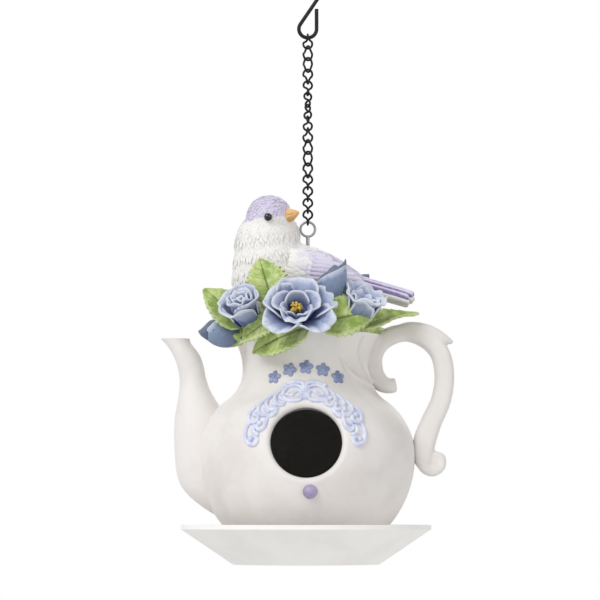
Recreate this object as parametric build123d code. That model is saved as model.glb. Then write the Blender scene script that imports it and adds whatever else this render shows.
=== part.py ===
from build123d import *
import math
import os

# Pot: its belly stands above the saucer's underside, the rest above the belly
belly_radius = 59.5
belly_height = 59.0
lower_bend = 58.0
shoulder_bend = 36.7
neck_radius = 34.7
neck_rise = 47.0
rim_rise = 19.0
flare_bend = 31.8
foot_inset = 9.0
foot_step = 37.5
pot_wall = 6.0
pot_floor = 6.0
neck_seam_rise = 38.0

# Entry hole and the trim around it
entry_diameter = 38.0
entry_rise = 7.5
entry_tilt = 12.0
entry_lip = 2.5
trim_relief = 1.5
arch_lobe_radius = 4.7
arch_lobe_count = 15
arch_side_gap = 9.2
arch_crown_gap = 5.6
arch_foot_turn = 4.0
band_drop = 4.5
band_bend = 42.0
band_turn = 20.0
band_blossoms = 5
blossom_petals = 5
blossom_petal_radius = 1.55
blossom_ring_radius = 2.1
knob_diameter = 7.8
knob_drop = 20.0
knob_offset = 2.0
knob_peg_diameter = 3.0
knob_peg_depth = 4.0

# Saucer and clean-out plug
saucer_radius = 68.3
saucer_foot_radius = 40.0
saucer_height = 21.5
saucer_wall = 4.6
saucer_floor = 4.0
saucer_lip = 2.4
cleanout_diameter = 30.0
plug_flange_width = 4.5
plug_flange_depth = 2.4
plug_clearance = 0.15
plug_recess = 0.6
plug_grip_width = 5.0
plug_grip_length = 20.0
plug_grip_depth = 6.0

# Spout: each section's height, how far its edge stands proud of the belly, and its size
spout_lip = dict(over_rim=-1.8, proud=20.3, width=16.0, depth=13.0)
spout_bend = dict(over_neck=10.0, proud=14.4, width=14.4, depth=13.5)
spout_throat = dict(over_neck=1.0, proud=10.8, width=14.4, depth=15.0)
spout_neck = dict(over_neck=-8.0, proud=9.8, width=15.6, depth=18.0)
spout_shoulder = dict(over_neck=-19.0, proud=11.2, width=23.0, depth=25.0)
spout_root = dict(over_belly=7.0, proud=12.6, width=32.0, depth=32.0)
spout_lower = dict(over_belly=-13.4, proud=10.1, width=36.0, depth=33.0)
spout_foot = dict(over_belly=-24.4, proud=1.5, width=30.0, depth=27.0)
spout_toe = dict(over_belly=-32.0, proud=-9.5, width=17.0, depth=16.0)
spout_wall = 2.2
spout_mouth_clearance = 0.2

# Handle: a scroll at the neck, a drop to the belly and a curl where it ends
handle_width = 10.8
handle_depth = 14.5
scroll_radius = 19.8
scroll_rise = 1.8
scroll_bite = 0.5
scroll_turn = 222.0
scroll_bead_radius = 6.0
curl_radius = 7.6
curl_depth = 15.5
curl_proud = 8.3
curl_drop = 3.0
handle_root_proud = 4.3
thumb_out = 26.0
thumb_up = 13.8
thumb_depth = 9.0
thumb_upper_turn = 68.0
thumb_lower_turn = 16.0
thumb_swell = 1.2

# Lid that closes the neck
lid_dome_height = 13.0
lid_edge = 4.0
lid_inset = 0.6
lid_spigot_depth = 12.0
lid_clearance = 0.2

# Bird: heights above the rim, reach from the axis towards the handle
bird_depth_offset = -4.0
breast_radius = 22.3
breast_reach = -18.7
breast_rise = 31.0
back_half_length = 40.0
back_radius = 18.5
back_reach = 3.5
back_rise = 28.5
back_slope = 25.0
nape_radius = 16.4
nape_reach = -20.6
nape_rise = 51.5
head_radius = 13.0
head_reach = -22.0
head_rise = 64.0
head_forward = 3.0
throat_gap = 4.0
beak_length = 8.0
beak_radius = 4.2
beak_heading = -28.0
beak_rise = 0.8
bird_eye_diameter = 4.4
bird_eye_turn = 56.0
bird_eye_rise = -0.8
wing_relief = 2.6
wing_root_reach = -8.0
wing_root_rise = 41.0
wing_tip_reach = 37.0
wing_tip_rise = 30.6
wing_upper_bow = 4.5
wing_lower_bow = 11.0
tail_length = 42.4
tail_root_width = 14.0
tail_tip_width = 20.0
tail_thickness = 5.4
tail_start = 18.0
tail_rise = 32.0
tail_slope = 18.0

# Wreath around the rim: angle from the handle side as seen from above, distance from
# the rim's edge, height above the rim, and the way each piece faces
petal_rings = (5, 4, 3)
front_rose = dict(radius=19.0, angle=-96.0, out=3.3, rise=11.0, heading=-94.0, lift=18.0)
left_rose = dict(radius=13.5, angle=-145.0, out=3.0, rise=14.5, heading=-150.0, lift=32.0)
right_rose = dict(radius=12.5, angle=-38.0, out=-1.0, rise=15.0, heading=-8.0, lift=46.0)
back_rose = dict(radius=15.0, angle=92.0, out=-1.0, rise=11.0, heading=92.0, lift=35.0)
left_bud = dict(length=22.5, radius=6.6, angle=-154.0, out=-1.0, rise=-1.0, heading=176.0, lift=12.0)
upright_bud = dict(length=25.0, radius=7.2, angle=-68.0, out=-6.0, rise=17.5, heading=-10.0, lift=74.0)
wing_bud = dict(length=26.0, radius=5.0, angle=22.0, out=-9.0, rise=9.0, heading=10.0, lift=74.0)
bud_stem_length = 12.0
bud_stem_radius = 1.8
leaf_thickness = 2.2
leaf_curl = 80.0
leaves = dict(
    leaf_upper_left=dict(length=33.0, width=17.0, angle=-143.0, out=-1.0, rise=9.0,
                         heading=171.0, lift=40.0, roll=-50.0),
    leaf_upright=dict(length=28.0, width=18.0, angle=-118.0, out=-2.0, rise=16.0,
                      heading=120.0, lift=77.0, roll=-32.0),
    leaf_small=dict(length=21.0, width=13.0, angle=-120.0, out=3.0, rise=8.0,
                    heading=172.0, lift=-14.0, roll=-55.0),
    leaf_lower=dict(length=34.0, width=18.0, angle=-94.0, out=2.5, rise=2.0,
                    heading=161.0, lift=-24.0, roll=-65.0),
    leaf_right=dict(length=36.0, width=19.0, angle=-82.0, out=2.0, rise=1.0,
                    heading=14.0, lift=23.0, roll=55.0),
    leaf_far_right=dict(length=40.0, width=13.0, angle=-38.0, out=-6.0, rise=2.0,
                        heading=13.0, lift=27.0, roll=30.0),
    leaf_back_right=dict(length=36.0, width=17.0, angle=48.0, out=-11.0, rise=4.0,
                         heading=40.0, lift=14.0, roll=15.0),
    leaf_back_left=dict(length=36.0, width=17.0, angle=138.0, out=-11.0, rise=4.0,
                        heading=142.0, lift=14.0, roll=-15.0),
    leaf_back_fill=dict(length=30.0, width=15.0, angle=178.0, out=-11.0, rise=4.0,
                        heading=176.0, lift=10.0, roll=0.0),
    leaf_back_drop=dict(length=32.0, width=17.0, angle=86.0, out=2.5, rise=2.0,
                        heading=-19.0, lift=-24.0, roll=-65.0),
)

# Chain, hook and screw eye
link_count = 16
link_wire = 1.2
link_width = 6.0
link_length = 7.9
link_end_arc = 60.0
link_twist = 90.0
link_gap = 0.15
chain_phase = 90.0
chain_turn = 270.0
chain_turn_links = 12
chain_turn_bias = 0.9
hook_wire = 2.1
hook_loop_radius = 4.9
hook_bend_radius = 6.6
hook_loop_spacing = 20.6
hook_loop_leg = 11.2
hook_tip_leg = 3.5
screw_eye_wire = 1.4
screw_eye_ring_radius = 4.0
screw_eye_shank_diameter = 2.0
screw_eye_reach = 1.0
screw_eye_depth_offset = -0.6
screw_eye_rise = 58.7
screw_eye_shank = 16.0

# Places that follow from the sizes
neck_height = belly_height + neck_rise
rim_height = neck_height + rim_rise
entry_height = belly_height + entry_rise
foot_height = saucer_floor
rim_radius = neck_radius + flare_bend - math.sqrt(flare_bend ** 2 - rim_rise ** 2)
neck_across = neck_radius - belly_radius + shoulder_bend
neck_bend = (neck_across ** 2 + neck_rise ** 2 - shoulder_bend ** 2) / (2 * (shoulder_bend - neck_across))
screw_eye_height = rim_height + screw_eye_rise
link_bend = (link_width - link_wire) / 2
link_pitch = link_length - link_wire - link_gap
last_link_bottom = (screw_eye_height + screw_eye_ring_radius
                    - screw_eye_wire / 2 - link_wire / 2 - link_gap)
first_link_top = last_link_bottom + link_length + (link_count - 1) * link_pitch
hook_loop_bottom = first_link_top - link_wire / 2 - hook_wire / 2 - link_gap
hang_height = (hook_loop_bottom + hook_loop_radius + hook_loop_spacing
               + hook_bend_radius - hook_wire / 2)


# Shared shapes

def half_pot(offset, bottom, top):
    shoulder_angle = math.degrees(math.atan2(neck_rise, neck_across + neck_bend))
    lower_angle = math.degrees(math.asin(foot_step / lower_bend))
    flare_angle = math.degrees(math.asin(rim_rise / flare_bend))
    lower = CenterArc((belly_radius - lower_bend, belly_height), lower_bend + offset,
                      -lower_angle, lower_angle)
    shoulder = CenterArc((belly_radius - shoulder_bend, belly_height), shoulder_bend + offset,
                         0, shoulder_angle)
    neck = CenterArc((neck_radius + neck_bend, neck_height), neck_bend - offset,
                     180 + shoulder_angle, -shoulder_angle)
    flare = CenterArc((neck_radius + flare_bend, neck_height), flare_bend - offset,
                      180, -flare_angle)
    step = lower @ 0
    rim = flare @ 1
    closing = Polyline((rim.X, rim.Y), (rim.X, top), (0, top), (0, bottom),
                       (step.X - foot_inset, bottom), (step.X, step.Y))
    return Plane.XZ * make_face([lower, shoulder, neck, flare, closing])


def pot_radius_at(height):
    bend = lower_bend if height < belly_height else shoulder_bend
    return belly_radius - bend + math.sqrt(bend ** 2 - (height - belly_height) ** 2)


def pot_outside(offset=0.0):
    return revolve(half_pot(offset, foot_height, rim_height + abs(offset)), Axis.Z)


def facing(origin, heading, lift, roll=0.0):
    turn = math.radians(heading)
    rise = math.radians(lift)
    forward = Vector(math.cos(turn) * math.cos(rise), math.sin(turn) * math.cos(rise), math.sin(rise))
    sideways = Vector(-math.sin(turn), math.cos(turn), 0)
    return Plane(origin=origin, x_dir=sideways, z_dir=forward).location * Rot(0, 0, roll)


def on_wreath(angle, out, rise, heading, lift, roll=0.0):
    turn = math.radians(angle)
    reach = rim_radius + out
    origin = Vector(reach * math.cos(turn), reach * math.sin(turn), rim_height + rise)
    return facing(origin, heading, lift, roll)


def egg(half_length, radius):
    outline = EllipticalCenterArc((0, 0), radius, half_length, start_angle=-90, arc_size=180)
    return revolve(Plane.XZ * make_face([outline, Line(outline @ 1, outline @ 0)]), Axis.Z)


def trimmed(shape, neighbours):
    for neighbour in neighbours:
        if shape.bounding_box().overlaps(neighbour.bounding_box()):
            shape = shape - neighbour
    return max(shape.solids(), key=lambda solid: solid.volume)


# Pot, spout and handle

def entry_bore():
    mouth = Location((0, -pot_radius_at(entry_height), entry_height), (90 - entry_tilt, 0, 0))
    return mouth * Cylinder(entry_diameter / 2, 4 * pot_wall + entry_diameter)


def cleanout_bore():
    height = 2 * (foot_height + pot_floor) + pot_wall
    return Cylinder(cleanout_diameter / 2, height)


def knob_face():
    height = belly_height - knob_drop
    depth = math.sqrt(pot_radius_at(height) ** 2 - knob_offset ** 2)
    return Location((knob_offset, -depth, height), (90, 0, 0))


def knob_peg():
    return knob_face() * Pos(0, 0, -knob_peg_depth / 2) * Cylinder(knob_peg_diameter / 2, knob_peg_depth)


def teapot_body():
    cavity = revolve(half_pot(-pot_wall, foot_height + pot_floor, rim_height + pot_wall), Axis.Z)
    pot = pot_outside() - cavity - entry_bore() - cleanout_bore() - knob_peg()
    return fillet(entry_edges(pot), entry_lip)


def entry_edges(pot):
    edges = []
    for edge in pot.edges().filter_by(GeomType.BSPLINE):
        spot = edge @ 0.5
        beside = abs(spot.Z - entry_height) < entry_diameter / 2 + pot_wall
        if beside and abs(math.hypot(spot.X, spot.Y) - pot_radius_at(spot.Z)) < pot_wall / 10:
            edges.append(edge)
    return edges


def pot_sections():
    foot_top = belly_height - foot_step * (lower_bend - pot_wall) / lower_bend
    seams = (0, foot_height + pot_floor, foot_top, entry_height, belly_height + neck_seam_rise,
             rim_height + pot_wall)
    names = ("pot_base", "pot_foot", "pot_bowl", "pot_shoulder", "pot_neck")
    pot = teapot_body()
    sections = {}
    for name, low, high in zip(names, seams, seams[1:]):
        slab = Pos(0, 0, (low + high) / 2) * Cylinder(2 * belly_radius, high - low)
        sections[name] = pot & slab
    return sections


def spout_section(height, proud, width, depth):
    middle = -(belly_radius + proud - width / 2)
    return Pos(middle, 0, height) * Ellipse(width / 2, depth / 2)


def spout_height(section):
    if "over_rim" in section:
        return rim_height + section["over_rim"]
    if "over_neck" in section:
        return neck_height + section["over_neck"]
    return belly_height + section["over_belly"]


def spout_loft(sections, wall=0.0, above=0.0):
    faces = []
    for section in sections:
        height = spout_height(section) + (above if section is spout_lip else 0.0)
        faces.append(spout_section(height, section["proud"] - wall,
                                   section["width"] - 2 * wall, section["depth"] - 2 * wall))
    return loft(faces)


def spout():
    upper = (spout_root, spout_shoulder, spout_neck, spout_throat, spout_bend, spout_lip)
    outside = spout_loft((spout_toe, spout_foot, spout_lower) + upper)
    inside = spout_loft(upper, spout_wall, spout_mouth_clearance)
    return trimmed(outside, [pot_outside(), inside])


def handle():
    centre_x = neck_radius + scroll_radius + scroll_bite
    centre_z = neck_height + scroll_rise
    root_x = belly_radius + handle_root_proud
    root_z = belly_height - curl_drop
    scroll = CenterArc((centre_x, centre_z), scroll_radius, scroll_turn, -scroll_turn)
    side = scroll @ 1
    middle = Vector((side.X + root_x) / 2, (side.Y + root_z) / 2)
    fall = TangentArc(side, middle, tangent=(0, -1))
    landing = TangentArc(middle, (root_x, root_z), tangent=fall % 1)
    path = Plane.XZ * Wire([scroll, fall, landing])
    section = Plane(origin=path @ 0, x_dir=(0, 1, 0), z_dir=path % 0)
    grip = sweep(section * Ellipse(handle_depth / 2, handle_width / 2), path)
    bead = Pos(path @ 0) * Sphere(scroll_bead_radius)
    curl_x = belly_radius + curl_proud
    curl = Location((curl_x, 0, root_z), (90, 0, 0)) * Cylinder(curl_radius, curl_depth)
    thumb = thumb_rest(centre_x, centre_z)
    return trimmed(grip + bead + curl + thumb, [pot_outside(), lid()])


def thumb_rest(centre_x, centre_z):
    upper = Vector(scroll_radius, 0).rotate(Axis.Z, thumb_upper_turn)
    lower = Vector(scroll_radius, 0).rotate(Axis.Z, thumb_lower_turn)
    tip = Vector(thumb_out, thumb_up)
    crest = SagittaArc(upper, tip, thumb_swell * 2)
    underside = SagittaArc(tip, lower, -thumb_swell)
    outline = make_face([crest, underside, Line(lower, upper)])
    placed = Pos(centre_x, 0, centre_z) * (Plane.XZ * outline)
    return extrude(placed, thumb_depth / 2, both=True)


# Saucer, plug and lid

def saucer():
    slope = math.atan2(saucer_height - saucer_lip, saucer_radius - saucer_foot_radius)
    inset = saucer_wall / math.sin(slope)
    run = (saucer_radius - saucer_foot_radius) / (saucer_height - saucer_lip)
    floor_radius = saucer_foot_radius + saucer_floor * run - inset
    outline = Polyline((0, 0), (saucer_foot_radius, 0),
                       (saucer_radius, saucer_height - saucer_lip), (saucer_radius, saucer_height),
                       (saucer_radius - inset + saucer_lip * run, saucer_height),
                       (floor_radius, saucer_floor), (0, saucer_floor), close=True)
    flange_bore = Cylinder(cleanout_diameter / 2 + plug_flange_width + plug_clearance,
                           2 * (plug_flange_depth + plug_recess))
    return revolve(Plane.XZ * make_face(outline), Axis.Z) - cleanout_bore() - flange_bore


def cleanout_plug():
    flange_radius = cleanout_diameter / 2 + plug_flange_width
    core_radius = cleanout_diameter / 2 - plug_clearance
    top = saucer_floor + pot_floor
    align = (Align.CENTER, Align.CENTER, Align.MIN)
    flange = Pos(0, 0, plug_recess) * Cylinder(flange_radius, plug_flange_depth, align=align)
    core = Pos(0, 0, plug_recess) * Cylinder(core_radius, top - plug_recess, align=align)
    slot = Box(plug_grip_length, 2 * plug_grip_width, plug_grip_depth, align=align)
    web = Box(plug_grip_length + plug_clearance, plug_grip_width / 2, plug_grip_depth + plug_clearance,
              align=align)
    return flange + core - Pos(0, 0, plug_recess) * (slot - web)


def lid():
    edge_radius = rim_radius - lid_inset
    spigot_radius = neck_radius - pot_wall - lid_clearance
    bottom = rim_height - lid_spigot_depth
    shoulder = rim_height + lid_edge
    crown = shoulder + lid_dome_height
    bend = (edge_radius ** 2 + lid_dome_height ** 2) / (2 * lid_dome_height)
    dome = RadiusArc((edge_radius, shoulder), (0, crown), -bend)
    sides = Polyline((0, crown), (0, bottom), (spigot_radius, bottom), (spigot_radius, rim_height),
                     (edge_radius, rim_height), (edge_radius, shoulder))
    return revolve(Plane.XZ * make_face([dome, sides]), Axis.Z)


# Bird

def bird_place(reach, rise):
    return Pos(reach, bird_depth_offset, rim_height + rise)


def bird_bulk(proud=0.0):
    breast = bird_place(breast_reach, breast_rise) * Sphere(breast_radius + proud)
    back = (bird_place(back_reach, back_rise) * Rot(0, 90 + back_slope, 0)
            * egg(back_half_length + proud, back_radius + proud))
    return breast + back


def bird_body():
    nape = bird_place(nape_reach, nape_rise) * Sphere(nape_radius)
    collar = bird_place(nape_reach, nape_rise) * Circle(nape_radius)
    chin = head_place() * Pos(0, 0, -throat_gap) * Circle(math.sqrt(head_radius ** 2 - throat_gap ** 2))
    return bird_bulk() + nape + loft([collar, chin])


def head_place():
    return Pos(head_reach, bird_depth_offset - head_forward, rim_height + head_rise)


def bird_eyes():
    eyes = []
    for side in (-1, 1):
        turn = Rot(0, 0, beak_heading + side * bird_eye_turn)
        eyes.append(head_place() * turn * Pos(head_radius, 0, bird_eye_rise) * Sphere(bird_eye_diameter / 2))
    return eyes


def bird_beak():
    root = head_radius - beak_radius / 2
    cone = Cone(beak_radius, beak_radius / 10, beak_length + beak_radius / 2,
                align=(Align.CENTER, Align.CENTER, Align.MIN))
    return head_place() * Rot(0, 0, beak_heading) * Pos(root, 0, beak_rise) * Rot(0, 90, 0) * cone


def bird_wing(side):
    root = Vector(wing_root_reach, rim_height + wing_root_rise)
    tip = Vector(wing_tip_reach, rim_height + wing_tip_rise)
    outline = make_face([SagittaArc(root, tip, wing_upper_bow), SagittaArc(tip, root, wing_lower_bow)])
    depth = -side * (breast_radius + back_radius)
    blank = extrude(Pos(0, bird_depth_offset, 0) * (Plane.XZ * outline), depth)
    return bird_bulk(wing_relief) & blank


def bird_tail():
    outline = make_face(Polyline((0, -tail_root_width / 2), (tail_length, -tail_tip_width / 2),
                                 (tail_length, tail_tip_width / 2), (0, tail_root_width / 2), close=True))
    plate = extrude(outline, tail_thickness / 2, both=True)
    rounded = fillet(plate.edges().filter_by(Axis.Z).sort_by(Axis.X)[-2:], tail_tip_width / 4)
    return bird_place(tail_start, tail_rise) * Rot(0, tail_slope, 0) * rounded


# Wreath

def petal(radius):
    outer = 1.15 * radius
    inner = 1.5 * radius
    back = Pos(0, 0, math.sqrt(outer ** 2 - radius ** 2)) * Sphere(outer)
    return back - Pos(0, 0, math.sqrt(inner ** 2 - radius ** 2)) * Sphere(inner)


def rose(radius):
    flower = Pos(0, 0, -0.12 * radius) * egg(0.42 * radius, 0.4 * radius)
    for ring, count in enumerate(petal_rings):
        size = (0.52 - 0.1 * ring) * radius
        reach = (0.5 - 0.17 * ring) * radius
        lean = 20 + 24 * ring
        for step in range(count):
            turn = 360 * (step + 0.5 * ring) / count
            flower += Rot(0, 0, turn) * Pos(reach, 0, 0.1 * ring * radius) * Rot(0, -lean, 0) * petal(size)
    return flower


def bud(length, radius):
    outline = [ThreePointArc((0, 0), (radius, length * 0.38), (radius * 0.45, length * 0.86)),
               Line((radius * 0.45, length * 0.86), (0, length)), Line((0, length), (0, 0))]
    stem = Pos(0, 0, radius) * Cylinder(bud_stem_radius, radius + bud_stem_length,
                                        align=(Align.CENTER, Align.CENTER, Align.MAX))
    return revolve(Plane.XZ * make_face(outline), Axis.Z) + stem


def leaf(length, width):
    sides = [SagittaArc((0, 0), (0, length), width / 2), SagittaArc((0, length), (0, 0), width / 2)]
    blank = extrude(Pos(0, leaf_thickness, 0) * (Plane.XZ * make_face(sides)), leaf_curl)
    bend = Location((0, -leaf_curl, 0), (0, 90, 0))
    shell = Cylinder(leaf_curl + leaf_thickness / 2, width) - Cylinder(leaf_curl - leaf_thickness / 2, width)
    return blank & (bend * shell)


def wreath_rose(radius, **place):
    return on_wreath(**place) * rose(radius)


def wreath_bud(length, radius, **place):
    return on_wreath(**place) * bud(length, radius)


def wreath_leaf(length, width, **place):
    return on_wreath(**place) * leaf(length, width)


# Trim on the pot

def pot_trim(shapes):
    outline = shapes[0] + shapes[1:]
    blank = extrude(Plane.XZ * outline, belly_radius + 2 * trim_relief)
    return (blank & pot_outside(trim_relief)) - pot_outside()


def arch_lobes():
    half = entry_diameter / 2
    lobes = []
    for step in range(arch_lobe_count):
        turn = math.radians(-arch_foot_turn + (180 + 2 * arch_foot_turn) * step / (arch_lobe_count - 1))
        side = (half + arch_side_gap) * math.cos(turn)
        up = entry_height + (half + arch_crown_gap) * math.sin(turn)
        lobes.append(Pos(side, up) * Circle(arch_lobe_radius))
    return lobes


def blossoms():
    centre = neck_height - band_drop - band_bend
    shapes = []
    for step in range(band_blossoms):
        turn = 90 + band_turn * (1 - 2 * step / (band_blossoms - 1))
        middle = Vector(band_bend, 0).rotate(Axis.Z, turn) + Vector(0, centre)
        shapes.append(Pos(middle) * Circle(blossom_ring_radius))
        for number in range(blossom_petals):
            spot = middle + Vector(0, blossom_ring_radius).rotate(Axis.Z, 360 * number / blossom_petals)
            shapes.append(Pos(spot) * Circle(blossom_petal_radius))
    return shapes


def perch_knob():
    dome = knob_face() * Sphere(knob_diameter / 2)
    return dome - pot_outside() + knob_peg()


# Chain, hook and eye

def biarc(start, start_way, end, end_way):
    span = end - start
    both = start_way + end_way
    a = 2 * (1 - start_way.dot(end_way))
    b = 2 * span.dot(both)
    reach = (math.sqrt(b ** 2 + 4 * a * span.dot(span)) - b) / (2 * a)
    middle = (start + start_way * reach + end - end_way * reach) * 0.5
    first = TangentArc(start, middle, tangent=start_way)
    return [first, TangentArc(middle, end, tangent=first % 1)]


def link_side(turn):
    arc = math.radians(link_end_arc)
    top_way = Vector(1, 0, 0).rotate(Axis.Z, turn)
    bottom_way = top_way.rotate(Axis.Z, link_twist)
    up = Vector(0, 0, 1)
    top = Vector(0, 0, 0)
    bottom = up * -link_length
    top_end = top_way * (link_bend * math.sin(arc)) - up * (link_bend * (1 - math.cos(arc)))
    bottom_end = bottom + bottom_way * (link_bend * math.sin(arc)) + up * (link_bend * (1 - math.cos(arc)))
    leaving = top_way * math.cos(arc) - up * math.sin(arc)
    arriving = bottom_way * -math.cos(arc) - up * math.sin(arc)
    edges = [TangentArc(top, top_end, tangent=top_way)]
    edges += biarc(top_end, leaving, bottom_end, arriving)
    edges += [TangentArc(bottom_end, bottom, tangent=arriving)]
    path = Wire(edges)
    return sweep(Plane(origin=top, z_dir=top_way) * Circle(link_wire / 2), path)


def chain_link():
    return link_side(0) + link_side(180)


def link_phase(number):
    share = min(1.0, (number - 1) / chain_turn_links)
    return chain_phase + chain_turn * share ** chain_turn_bias


def link_top(number):
    return first_link_top - (number - 1) * link_pitch


def s_hook():
    tilt = math.degrees(math.asin((hook_bend_radius + hook_loop_radius) / hook_loop_spacing))
    upper = (0, -(hook_bend_radius - hook_wire / 2))
    lower = (0, upper[1] - hook_loop_spacing)
    bend = CenterArc(upper, hook_bend_radius, 180, -180 - tilt)
    loop = CenterArc(lower, hook_loop_radius, 180 - tilt, 180 + tilt)
    tip = Line((-hook_bend_radius, upper[1] - hook_tip_leg), bend @ 0)
    leg = Line(loop @ 1, (hook_loop_radius, lower[1] + hook_loop_leg))
    path = Plane.XZ * Wire([tip, bend, Line(bend @ 1, loop @ 0), loop, leg])
    return sweep(Plane(origin=path @ 0, z_dir=path % 0) * Circle(hook_wire / 2), path)


def screw_eye_place():
    return Pos(screw_eye_reach, screw_eye_depth_offset, screw_eye_height)


def screw_eye():
    ring = Rot(90, 0, 0) * Torus(screw_eye_ring_radius, screw_eye_wire / 2)
    shank = Pos(0, 0, -screw_eye_ring_radius) * Cylinder(
        screw_eye_shank_diameter / 2, screw_eye_shank, align=(Align.CENTER, Align.CENTER, Align.MAX))
    return screw_eye_place() * (ring + shank)


# Assembly: each piece is cut by those that it sits against

def house_pieces():
    pieces = pot_sections()
    pieces.update(saucer=saucer(), lid=lid(), cleanout_plug=cleanout_plug(), spout=spout(), handle=handle(),
                  perch_knob=perch_knob(), screw_eye=screw_eye())
    pieces["filigree_arch"] = pot_trim(arch_lobes())
    pieces["blossom_band"] = pot_trim(blossoms())
    solid_pot = pot_outside()
    bird_eye_pair = bird_eyes()
    body = trimmed(bird_body(), [pieces["lid"], pieces["screw_eye"]] + bird_eye_pair)
    head = trimmed(head_place() * Sphere(head_radius), [body] + bird_eye_pair)
    pieces["bird_body"] = body
    pieces["bird_head"] = head
    pieces["bird_beak"] = trimmed(bird_beak(), [head])
    pieces["bird_eyes"] = Compound(children=bird_eye_pair)
    bulk = [body, pieces["lid"], solid_pot, pieces["handle"], pieces["spout"]]
    for name, side in (("wing_near", -1), ("wing_far", 1)):
        pieces[name] = trimmed(bird_wing(side), bulk + [head])
        bulk.append(pieces[name])
    pieces["bird_tail"] = trimmed(bird_tail(), bulk)
    bulk.append(pieces["bird_tail"])
    flowers = dict(rose_front=wreath_rose(**front_rose), rose_left=wreath_rose(**left_rose),
                   rose_right=wreath_rose(**right_rose), rose_back=wreath_rose(**back_rose),
                   bud_left=wreath_bud(**left_bud), bud_upright=wreath_bud(**upright_bud),
                   bud_wing=wreath_bud(**wing_bud))
    for name, size in leaves.items():
        flowers[name] = wreath_leaf(**size)
    for name, shape in flowers.items():
        pieces[name] = trimmed(shape, bulk)
        bulk.append(pieces[name])
    return pieces


def assembly():
    house = Pos(-screw_eye_reach, -screw_eye_depth_offset, -hang_height)
    nodes = {name: house * piece for name, piece in house_pieces().items()}
    nodes["s_hook"] = s_hook()
    link = chain_link()
    for number in range(1, link_count + 1):
        place = Pos(0, 0, link_top(number) - hang_height) * Rot(0, 0, link_phase(number))
        nodes[f"chain_link_{number:02d}"] = place * link
    return nodes


os.makedirs("parts", exist_ok=True)
for node_name, node in assembly().items():
    export_step(node, f"parts/{node_name}.step")
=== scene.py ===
import random
from math import copysign, cos, exp, hypot, pi, radians, sin, sqrt

import bmesh
import bpy
import numpy as np
from mathutils import Matrix, Vector
from mathutils.bvhtree import BVHTree


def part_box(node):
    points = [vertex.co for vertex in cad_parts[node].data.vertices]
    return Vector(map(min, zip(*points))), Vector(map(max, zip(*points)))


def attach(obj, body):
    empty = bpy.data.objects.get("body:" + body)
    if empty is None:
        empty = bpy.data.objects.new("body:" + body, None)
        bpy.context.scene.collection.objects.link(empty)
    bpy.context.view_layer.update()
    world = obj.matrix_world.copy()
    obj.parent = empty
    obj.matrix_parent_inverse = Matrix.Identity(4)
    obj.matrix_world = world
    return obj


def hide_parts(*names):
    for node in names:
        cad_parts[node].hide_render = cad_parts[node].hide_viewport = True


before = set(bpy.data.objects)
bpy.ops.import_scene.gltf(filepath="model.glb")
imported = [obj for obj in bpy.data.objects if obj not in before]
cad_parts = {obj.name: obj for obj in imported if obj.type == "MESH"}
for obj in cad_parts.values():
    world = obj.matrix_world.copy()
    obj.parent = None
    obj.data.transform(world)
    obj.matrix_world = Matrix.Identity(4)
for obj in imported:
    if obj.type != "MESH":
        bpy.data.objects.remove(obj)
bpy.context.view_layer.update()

mm = 0.001
wholeWave = 6.28  # phases are drawn from this range
saucerLow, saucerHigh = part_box("saucer")
potAxis = (saucerLow + saucerHigh) / 2


# House frame: millimetres from the pot's axis and the saucer's underside

def spot(x, y, z):
    return Vector((potAxis.x + x * mm, potAxis.y + y * mm, saucerLow.z + z * mm))


def ease(low, high, value):
    share = np.clip((value - low) / (high - low), 0, 1)
    return share * share * (3 - 2 * share)


def around(count):  # the angles of a closed ring
    return np.linspace(0, 2 * pi, count, endpoint=False)


def tint(*screen):  # a screen colour as the light it stands for
    shares = [value / 255 for value in screen]
    return (*(s / 12.92 if s <= 0.04045 else ((s + 0.055) / 1.055) ** 2.4 for s in shares), 1.0)


# Nodes, for materials and for geometry

class Wire:  # one output that can stand in a sum
    def __init__(self, desk, socket):
        self.desk = desk
        self.socket = socket

    def maths(self, operation, other, swapped=False):
        pair = (other, self) if swapped else (self, other)
        return self.desk.node("ShaderNodeMath", {"operation": operation}, {0: pair[0], 1: pair[1]})

    def __add__(self, other):
        return self.maths("ADD", other)

    def __sub__(self, other):
        return self.maths("SUBTRACT", other)

    def __rsub__(self, other):
        return self.maths("SUBTRACT", other, True)

    def __mul__(self, other):
        return self.maths("MULTIPLY", other)

    def __pow__(self, other):
        return self.maths("POWER", other)

    __radd__ = __add__
    __rmul__ = __mul__


class Desk:  # a node tree and the one way to add to it
    def __init__(self, tree):
        self.tree = tree

    def node(self, kind, settings=None, inputs=None, output=0):
        made = self.tree.nodes.new(kind)
        for name, value in (settings or {}).items():
            setattr(made, name, value)
        for name, value in (inputs or {}).items():
            for wire in value if isinstance(value, list) else [value]:
                if isinstance(wire, Wire):
                    self.tree.links.new(wire.socket, made.inputs[name])
            if not isinstance(value, (Wire, list)):
                made.inputs[name].default_value = value
        return Wire(self, made.outputs[output]) if made.outputs else None


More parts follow.
